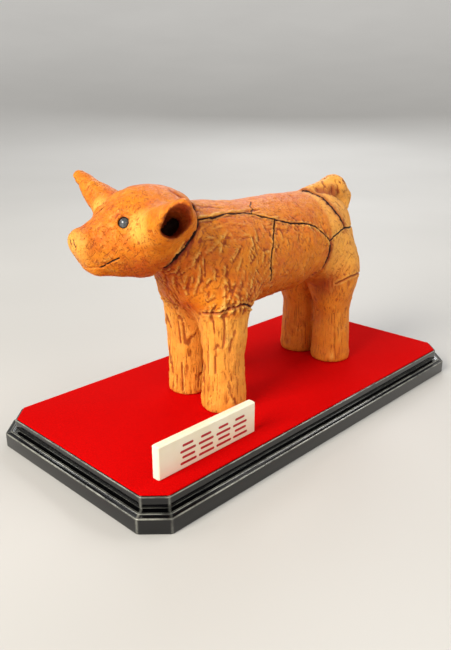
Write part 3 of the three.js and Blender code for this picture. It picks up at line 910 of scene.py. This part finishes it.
def make_eyes():
    material = bead_material()
    rings, around = 14, 28
    for node, side in (("eye_left", -1), ("eye_right", 1)):
        x, y, z = head_point(EYE_AT[0], side * EYE_AT[1], EYE_AT[2])
        unit = [(0.0, 0.0, -1.0)]
        for r in range(1, rings):
            polar = math.pi * r / rings
            for i in range(around):
                round_it = 2 * math.pi * i / around
                out = math.sin(polar)
                unit.append((out * math.cos(round_it), out * math.sin(round_it), -math.cos(polar)))
        unit.append((0.0, 0.0, 1.0))
        points = to_world(np.array(unit) * EYE_RADIUS + (x, y, z))
        faces = [(0, 1 + (i + 1) % around, 1 + i) for i in range(around)]
        faces += side_faces(1, around, rings - 1)
        last = 1 + (rings - 2) * around
        faces += [(last + i, last + (i + 1) % around, len(unit) - 1) for i in range(around)]
        bead = new_object(node + "_bead", points, faces)
        bead.data.materials.append(material)
        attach(bead, "root")
        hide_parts(node)


def make_felt():
    """The felt, with a soft fibrous edge."""
    low, high = (np.array(v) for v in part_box("felt_top"))
    (half_x, half_y), corner = (high - low)[:2] / 2, CORNER_CUT * MM
    middle = (low + high)[:2] / 2
    ring = np.array(cut_rectangle(half_x, half_y, corner))
    spacing = 0.35 * MM
    edge = []
    for a, b in zip(ring, np.roll(ring, -1, axis=0)):
        count = max(2, round(np.linalg.norm(b - a) / spacing))
        edge += [a + (b - a) * i / count for i in range(count)]
    edge = np.array(edge)
    shake = random.normal(0, 0.05 * MM, (len(edge), 1))
    inward = -edge / np.linalg.norm(edge, axis=1, keepdims=True)
    edge = edge + inward * np.abs(shake)
    n = len(edge)
    base, top = low[2], high[2]
    layers = ((0, base), (0, base + 0.5 * (top - base)), (0.12 * MM, top - 0.03 * MM), (0.4 * MM, top))
    points = []
    for inset, z in layers:
        shape = edge + inward * inset
        points += [(x + middle[0], y + middle[1], z) for x, y in shape]
    faces = [tuple(reversed(range(n)))]
    faces += side_faces(0, n, len(layers))
    faces.append(tuple(range((len(layers) - 1) * n, len(layers) * n)))
    felt = new_object("felt_sheet", points, faces)
    felt.data.set_sharp_from_angle(angle=math.radians(50))
    felt.data.materials.append(felt_material())
    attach(felt, "root")
    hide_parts("felt_top")


def make_marks():
    """Rows of shallow red strokes on the plate, in four groups, that are no letters."""
    low, high = (np.array(v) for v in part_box("name_plate"))
    face = low[1]
    thick, sink, half = 0.05 * MM, 0.03 * MM, 0.36 * MM
    groups = (10.6, 17.4, 24.2, 31.0)  # the middles, from the plate's left edge
    rows = ((0.0, 5.2), (0.7, 4.0), (0.0, 5.0), (0.9, 3.2))  # each row's start in its group, and its length
    half_group, first_row, row_rise = 2.6, 1.9, 1.75
    points, faces = [], []
    for group in groups:
        for row, (start, length) in enumerate(rows):
            x0 = low[0] + (group - half_group + start) * MM
            x1 = x0 + length * MM
            z = low[2] + (first_row + row_rise * row) * MM
            outline = []
            for end, quarter in ((x1, -math.pi / 2), (x0, math.pi / 2)):
                for i in range(13):
                    angle = quarter + math.pi * i / 12
                    outline.append((end + half * math.cos(angle), z + half * math.sin(angle)))
            first, n = len(points), len(outline)
            for y in (face + sink, face - thick):
                points += [(px, y, pz) for px, pz in outline]
            faces.append(tuple(first + i for i in reversed(range(n))))
            faces.append(tuple(first + n + i for i in range(n)))
            faces += side_faces(first, n, 2)
    marks = new_object("plate_strokes", points, faces, smooth=False)
    marks.data.materials.append(paint_material())
    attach(marks, "root")


def rounded(ends, radius, closed=True, steps=6):
    """An outline with its corners rounded off."""
    ends = np.array(ends, float)
    out = [] if closed else [ends[0]]
    for i in range(len(ends)) if closed else range(1, len(ends) - 1):
        before, corner, after = ends[i - 1], ends[i], ends[(i + 1) % len(ends)]
        back, on = before - corner, after - corner
        start = corner + back * min(radius / np.linalg.norm(back), 0.48)
        end = corner + on * min(radius / np.linalg.norm(on), 0.48)
        for t in np.linspace(0, 1, steps):
            out.append((1 - t) ** 2 * start + 2 * t * (1 - t) * corner + t * t * end)
    return np.array(out if closed else out + [ends[-1]])


def make_plinth():
    """The lacquered plinth, with every arris rounded over, and a painted highlight along the bright arrises
    and up every corner.
    """
    low, high = (np.array(v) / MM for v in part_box("plinth"))
    half_x, half_y = (high - low)[:2] / 2 - STEP_OUT
    middle = (low + high)[:2] / 2
    points, arris_highlight = [], []
    arc = 6  # points on each rounded corner
    swelling = [(4 * t * (1 - t)) ** 2 for t in np.linspace(0, 1, arc)]
    profile = rounded(PLINTH_PROFILE, 0.45, closed=False, steps=arc)
    for i, (out, z) in enumerate(profile):
        corner_number, at = divmod(i - 1, arc)
        # painted highlight: full along the bright arrises, half up every upright corner
        on_arris = swelling[at] if corner_number + 1 in BRIGHT_CORNERS else 0
        corner = CORNER_CUT + LOWER_CUT_MORE * min(max(out / STEP_OUT, 0), 1)
        ring = rounded(cut_rectangle(half_x + out, half_y + out, corner), 0.6, steps=arc)
        arris_highlight += [max(on_arris, 0.5 * swelling[j % arc]) for j in range(len(ring))]
        points += [((x + middle[0]) * MM, (y + middle[1]) * MM, z * MM) for x, y in ring]
    n, layers = len(ring), len(profile)
    faces = [tuple(reversed(range(n)))]
    faces += side_faces(0, n, layers)
    faces.append(tuple(range((layers - 1) * n, layers * n)))
    plinth = new_object("plinth_lacquered", points, faces)
    plinth.data.set_sharp_from_angle(angle=math.radians(40))
    set_attribute(plinth, "arris", arris_highlight)
    plinth.data.materials.append(lacquer_material())
    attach(plinth, "root")
    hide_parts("plinth")


def dress_plate():
    """The plate keeps its solid and gets its finish."""
    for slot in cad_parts["name_plate"].material_slots:
        slot.material = plate_material()


# ---------------------------------------------------------------- studio
def make_stage():
    """A pale floor that sweeps up into the background all round, glowing more the further off it is as
    painted light where the lamps fall short.
    """
    flat, bend, around = 0.5, 4.0, 96
    profile = [(0.4, 0), (flat, 0)]
    profile += [(flat + bend * math.sin(t), bend - bend * math.cos(t)) for t in np.linspace(0.05, 1.1, 18)]
    points = [(0, 0, 0)]
    for out, z in profile:
        turns = np.linspace(0, 2 * math.pi, around, endpoint=False)
        points += [(out * math.cos(t), out * math.sin(t), z) for t in turns]
    faces = [(0, 1 + i, 1 + (i + 1) % around) for i in range(around)]
    for ring in range(len(profile) - 1):
        for i in range(around):
            a, b = 1 + ring * around + i, 1 + ring * around + (i + 1) % around
            faces.append((a, a + around, b + around, b))
    floor = new_object("floor", points, faces)
    m = Nodes("pale_floor", Roughness=0.55, Specular_IOR_Level=0.3)
    colour = m.blend(m.band(m.noise(3, 3), 0.3, 0.7), srgb(188, 186, 182), srgb(196, 194, 190))
    # painted light: the floor glows, more with its distance from the middle
    far = m.add("ShaderNodeVectorMath", {0: m.place}, operation="LENGTH").outputs["Value"]
    m.shader.inputs["Emission Color"].default_value = srgb(196, 194, 190)
    floor.data.materials.append(m.finish(Base_Color=colour, Emission_Strength=m.band(far, 0.35, 2.4, 0.6)))

    world = bpy.data.worlds.new("studio")
    world.use_nodes = True
    world.node_tree.nodes["Background"].inputs["Color"].default_value = srgb(214, 216, 220)
    world.node_tree.nodes["Background"].inputs["Strength"].default_value = 0.38
    bpy.context.scene.world = world


def make_light(name, place, aim, size, watts, colour):
    data = bpy.data.lights.new(name, "AREA")
    data.shape = "RECTANGLE"
    data.size, data.size_y = size
    data.energy = watts
    data.color = colour
    lamp = bpy.data.objects.new(name, data)
    lamp.location = place
    bpy.context.scene.collection.objects.link(lamp)
    way = np.array(aim) - np.array(place)
    flat = math.hypot(way[0], way[1])
    lamp.rotation_euler = (math.atan2(flat, -way[2]), 0, math.atan2(-way[0], way[1]))


def make_lights():
    make_light("key", (-0.75, -0.02, 0.5), (0, 0, 0.05), (0.4, 0.4), 10.5, (1, 0.95, 0.86))
    make_light("fill", (-0.1, -0.9, 0.45), (0, 0, 0.04), (0.8, 0.5), 2.2, (1, 0.97, 0.94))
    make_light("rear", (0.7, 0.55, 0.55), (0, 0, 0.04), (0.5, 0.4), 3.5, (0.95, 0.97, 1))
    make_light("right_arris", (0.62, -0.3, 0.6), (0, 0, 0.02), (0.6, 0.1), 2.6, (1, 0.98, 0.95))
    make_light("left_arris", (-0.3, 0.6, 0.6), (0, 0, 0.02), (0.6, 0.06), 1.2, (1, 1, 1))


def make_camera():
    """The photo's viewpoint, found from the perspective of the plinth's edges."""
    place = (-0.16356, -0.14515, 0.10500)
    heading, down = 43.833, 19.33  # degrees from the x axis, and below level
    data = bpy.data.cameras.new("camera")
    data.sensor_fit = "VERTICAL"
    data.sensor_height = 36
    data.sensor_width = 36
    data.lens = 36.96
    data.clip_start = 0.005
    camera = bpy.data.objects.new("camera", data)
    camera.location = place
    camera.rotation_euler = (math.radians(90 - down), 0, math.radians(heading - 90))
    bpy.context.scene.collection.objects.link(camera)
    bpy.context.scene.camera = camera


make_camera()
make_lights()
make_stage()
make_plinth()
dress_plate()
make_dog()
make_eyes()
make_felt()
make_marks()
bpy.context.scene.view_settings.view_transform = "Standard"
